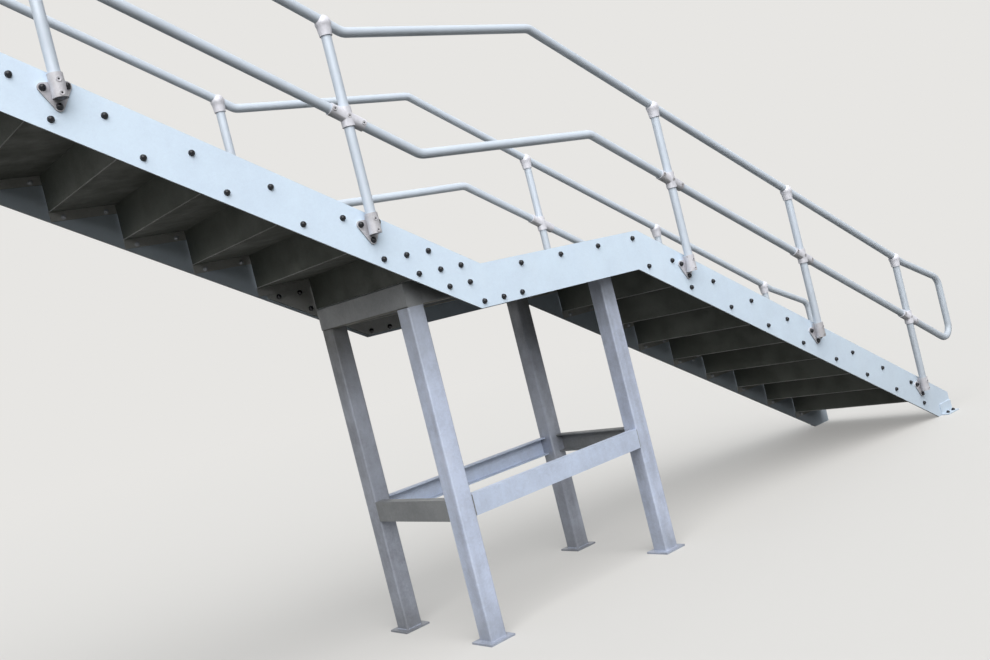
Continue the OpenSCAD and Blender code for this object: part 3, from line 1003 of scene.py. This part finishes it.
CLEAT_TOP = 0.008
CLEAT_MIDDLE = FOOT_END - 0.080
CLEAT_BOLT_Y = 0.574
CLEAT_BOLT_SHIFT = 0.040
floor_spots = np.array(
    [
        (CLEAT_MIDDLE + shift + ORIGIN_SHIFT, side * CLEAT_BOLT_Y, CLEAT_TOP)
        for shift in (-CLEAT_BOLT_SHIFT, CLEAT_BOLT_SHIFT)
        for side in (-1, 1)
    ]
)
piece("floor_bolt_caps", stamped(cap_shape, floor_spots, upward(4)), black_cap)

# Nuts on the bolts' inner ends, each on a washer, with the end of the bolt past it

WASHER_UP = 0.0028
washer = turned([(0.0120, -0.0003), (0.0120, 0.0025), (0.0118, WASHER_UP), (0.006, WASHER_UP)], 24)
nut = turned([(0.0110, 0.0), (0.0110, 0.0088), (0.0098, 0.0100), (0.0055, 0.0100)], 6)
bolt_end = turned([(0.0058, 0.0), (0.0058, 0.0150), (0.0050, 0.0160), (0.001, 0.0160)], 16)
inside_shape = joined(washer, (nut[0] + [0, 0, WASHER_UP], nut[1]), bolt_end)

inner_bolts = np.concatenate([step_bolts, landing_bolts])
for label, side in SIDES:
    spots = np.concatenate(
        [on_side(inner_bolts, side, FLANGE_FACE), on_side(post_bolts, side, INNER)]
    )
    piece(f"nuts_{label}", stamped(inside_shape, spots, facing(-side, len(spots))), bolt_steel)

# Weld beads: round the legs' feet, at the ends of the braces, and across the stringers' bends


BEAD_SIDES = 8
RING_SPACING = 0.003
RIPPLE = 0.12
RIPPLE_LENGTH = 0.006
DRAWN_IN = 0.35
ASKEW = (0.31, 0.53, 0.79)


def bead(start, end, radius):
    """A rippled weld bead along a straight line.

    Its points are start + s w + r (1 + 0.12 cos(2 pi s / 6 mm)) (n cos a + m sin a),
    with s the length from the start, w the line's direction, and n and m square to it.
    Both ends are drawn in to about a third and closed.
    """
    start, end = np.asarray(start, float), np.asarray(end, float)
    length = np.linalg.norm(end - start)
    way = (end - start) / length
    across = np.cross(way, ASKEW)
    across /= np.linalg.norm(across)
    other = np.cross(way, across)
    run = np.linspace(0.0, length, max(6, int(length / RING_SPACING)))
    swell = radius * (1 + RIPPLE * np.cos(2 * math.pi * run / RIPPLE_LENGTH))
    swell[[0, -1]] *= DRAWN_IN
    angle = np.arange(BEAD_SIDES) * 2 * math.pi / BEAD_SIDES
    spokes = np.outer(np.cos(angle), across) + np.outer(np.sin(angle), other)
    rings = start + run[:, None, None] * way + swell[:, None, None] * spokes
    faces = grid_faces(len(run), BEAD_SIDES).tolist() + end_caps(len(run), BEAD_SIDES)
    return rings.reshape(-1, 3), faces


FOOT_THICKNESS = 0.010
BRACE_Z = 0.618
BRACE_DEPTH = 0.108
LEG_CORNER = 0.009
LEG_FLAT = LEG / 2 - LEG_CORNER

# The beads' radii, and how deep the two kinds that lie on edges are sunk into the steel
FOOT_BEAD, BRACE_BEAD, BEND_BEAD = 0.0045, 0.0030, 0.0030
BRACE_SUNK = 0.0020
BEND_SUNK = 0.0026
EDGE_MARGIN = 0.001


def foot_welds(x, y):
    """Four beads on the base plate, one along each face of a leg."""
    centre = np.array([x + ORIGIN_SHIFT, y, FOOT_THICKNESS])
    for out, along in (((1, 0, 0), (0, 1, 0)), ((0, 1, 0), (1, 0, 0))):
        for side in (-1, 1):
            face = centre + side * LEG / 2 * np.array(out, float)
            half_run = LEG_FLAT * np.array(along, float)
            yield bead(face - half_run, face + half_run, FOOT_BEAD)


def brace_welds(x, inward, z):
    """Upright beads where the webs of the braces meet the two legs at one place."""
    for side in (-1, 1):
        for along, across in (
            (x + inward * LEG / 2, LEG_Y + LEG / 2 - BRACE_SUNK),
            (x - inward * (LEG / 2 - BRACE_SUNK), LEG_Y - LEG / 2),
        ):
            foot = np.array([along + ORIGIN_SHIFT, side * across, z])
            yield bead(foot, foot + [0.0, 0.0, BRACE_DEPTH], BRACE_BEAD)


foot_beads, brace_beads = [], []
for legs, brace_heights in ((MID_LEGS, (BRACE_Z,)), (TOP_LEGS, (BRACE_Z, BRACE_Z + MID_Z))):
    for x, inward in zip(legs, (1, -1)):
        for y in (-LEG_Y, LEG_Y):
            foot_beads += foot_welds(x, y)
        for z in brace_heights:
            brace_beads += brace_welds(x, inward, z)
piece("foot_welds", joined(*foot_beads), FINISHES["legs_mid_near"])
piece("brace_welds", joined(*brace_beads), painted_shade_steel)

bend_beads = []
for bend in (0.0, -MID_LENGTH, TOP_BEND):
    for y in (-HALF + BEND_SUNK, HALF - BEND_SUNK):
        high = np.array([bend + ORIGIN_SHIFT, y, float(stair_edge(bend)) - EDGE_MARGIN])
        low = high - [MITRE, 0.0, DEPTH - 2 * EDGE_MARGIN]
        bend_beads.append(bead(high, low, BEND_BEAD))
piece("bend_welds", joined(*bend_beads), plate_steel)

# Floor, backdrop and light

BACKDROP = (0.80, 0.79, 0.77, 1.0)
FLOOR_HALF = 60.0
FLOOR_DROP = 0.0005
FLOOR_SEEN = (0.56, 0.55, 0.535, 1.0)
FLOOR_BOUNCE = (0.05, 0.05, 0.045, 1.0)
FADE_FROM, FADE_TO, LEAST_FADE = 5.0, 20.0, 0.35
SKY = (0.93, 0.97, 1.0, 1.0)
SKY_LEAST, SKY_ABOVE, SKY_AHEAD = 0.03, 0.75, 0.6
KEY_PLACE = (-5.0, -8.0, 11.0)
KEY_AIM = (0.0, 0.0, 1.8)
KEY_STRENGTH = 3.7
KEY_SPREAD = math.radians(66.0)
KEY_COLOUR = (1.0, 0.99, 0.975)


def seen_rays(tree):
    """1 for rays that show the backdrop: from the camera, mirrored or let through."""
    rays = put(tree, "ShaderNodeLightPath").outputs
    seen = calc(tree, "MAXIMUM", rays["Is Camera Ray"], rays["Is Glossy Ray"])
    return calc(tree, "MAXIMUM", seen, rays["Is Transmission Ray"])


def studio_floor():
    """A pale floor that takes the shadow, throws little light back and fades far away."""
    mesh = bpy.data.meshes.new("studio_floor")
    corners = [
        (x * FLOOR_HALF, y * FLOOR_HALF, -FLOOR_DROP)
        for x, y in ((-1, -1), (1, -1), (1, 1), (-1, 1))
    ]
    mesh.from_pydata(corners, [], [(0, 1, 2, 3)])
    floor = bpy.data.objects.new("studio_floor", mesh)
    bpy.context.scene.collection.objects.link(floor)
    material = bpy.data.materials.new("studio_floor")
    material.use_nodes = True
    tree = material.node_tree
    tree.nodes.clear()
    place = put(tree, "ShaderNodeTexCoord").outputs["Object"]
    away = put(tree, "ShaderNodeVectorMath", {0: place}, operation="LENGTH").outputs["Value"]
    seen = seen_rays(tree)
    pale = put(tree, "ShaderNodeBsdfDiffuse", {"Color": FLOOR_SEEN})
    calm = put(tree, "ShaderNodeBsdfDiffuse", {"Color": FLOOR_BOUNCE})
    near = put(tree, "ShaderNodeMixShader", {0: seen, 1: calm.outputs[0], 2: pale.outputs[0]})
    glow = put(tree, "ShaderNodeEmission", {"Color": BACKDROP, "Strength": 1.0})
    fade = between(tree, away, FADE_FROM, FADE_TO, LEAST_FADE, 1.0)
    far = calc(tree, "MULTIPLY", fade, seen)
    both = put(tree, "ShaderNodeMixShader", {0: far, 1: near.outputs[0], 2: glow.outputs[0]})
    result = put(tree, "ShaderNodeOutputMaterial")
    tree.links.new(both.outputs[0], result.inputs[0])
    mesh.materials.append(material)


def studio_world():
    """The backdrop, and a soft light that grows with height and towards the front."""
    world = bpy.data.worlds.new("studio")
    bpy.context.scene.world = world
    world.use_nodes = True
    tree = world.node_tree
    tree.nodes.clear()
    way = put(tree, "ShaderNodeTexCoord").outputs["Generated"]
    parts = put(tree, "ShaderNodeSeparateXYZ", {0: way}).outputs
    above = calc(tree, "MAXIMUM", parts[2], 0.0)
    ahead = calc(tree, "MAXIMUM", calc(tree, "MULTIPLY", parts[1], -1.0), 0.0)
    level = calc(tree, "MULTIPLY_ADD", above, SKY_ABOVE, SKY_LEAST)
    level = calc(tree, "MULTIPLY_ADD", calc(tree, "MULTIPLY", ahead, above), SKY_AHEAD, level)
    seen = seen_rays(tree)
    light = put(tree, "ShaderNodeBackground", {"Color": SKY, "Strength": level})
    shown = put(tree, "ShaderNodeBackground", {"Color": BACKDROP, "Strength": 1.0})
    mix = put(tree, "ShaderNodeMixShader", {0: seen, 1: light.outputs[0], 2: shown.outputs[0]})
    result = put(tree, "ShaderNodeOutputWorld")
    tree.links.new(mix.outputs[0], result.inputs[0])


def key_light():
    """A wide, soft sun from the front left."""
    lamp = bpy.data.lights.new("key", "SUN")
    lamp.energy = KEY_STRENGTH
    lamp.angle = KEY_SPREAD
    lamp.color = KEY_COLOUR
    key = bpy.data.objects.new("key", lamp)
    bpy.context.scene.collection.objects.link(key)
    key.location = KEY_PLACE
    key.rotation_mode = "QUATERNION"
    aim = Vector(KEY_AIM) - key.location
    key.rotation_quaternion = aim.to_track_quat("-Z", "Y")


studio_floor()
studio_world()
key_light()

bpy.context.view_layer.update()
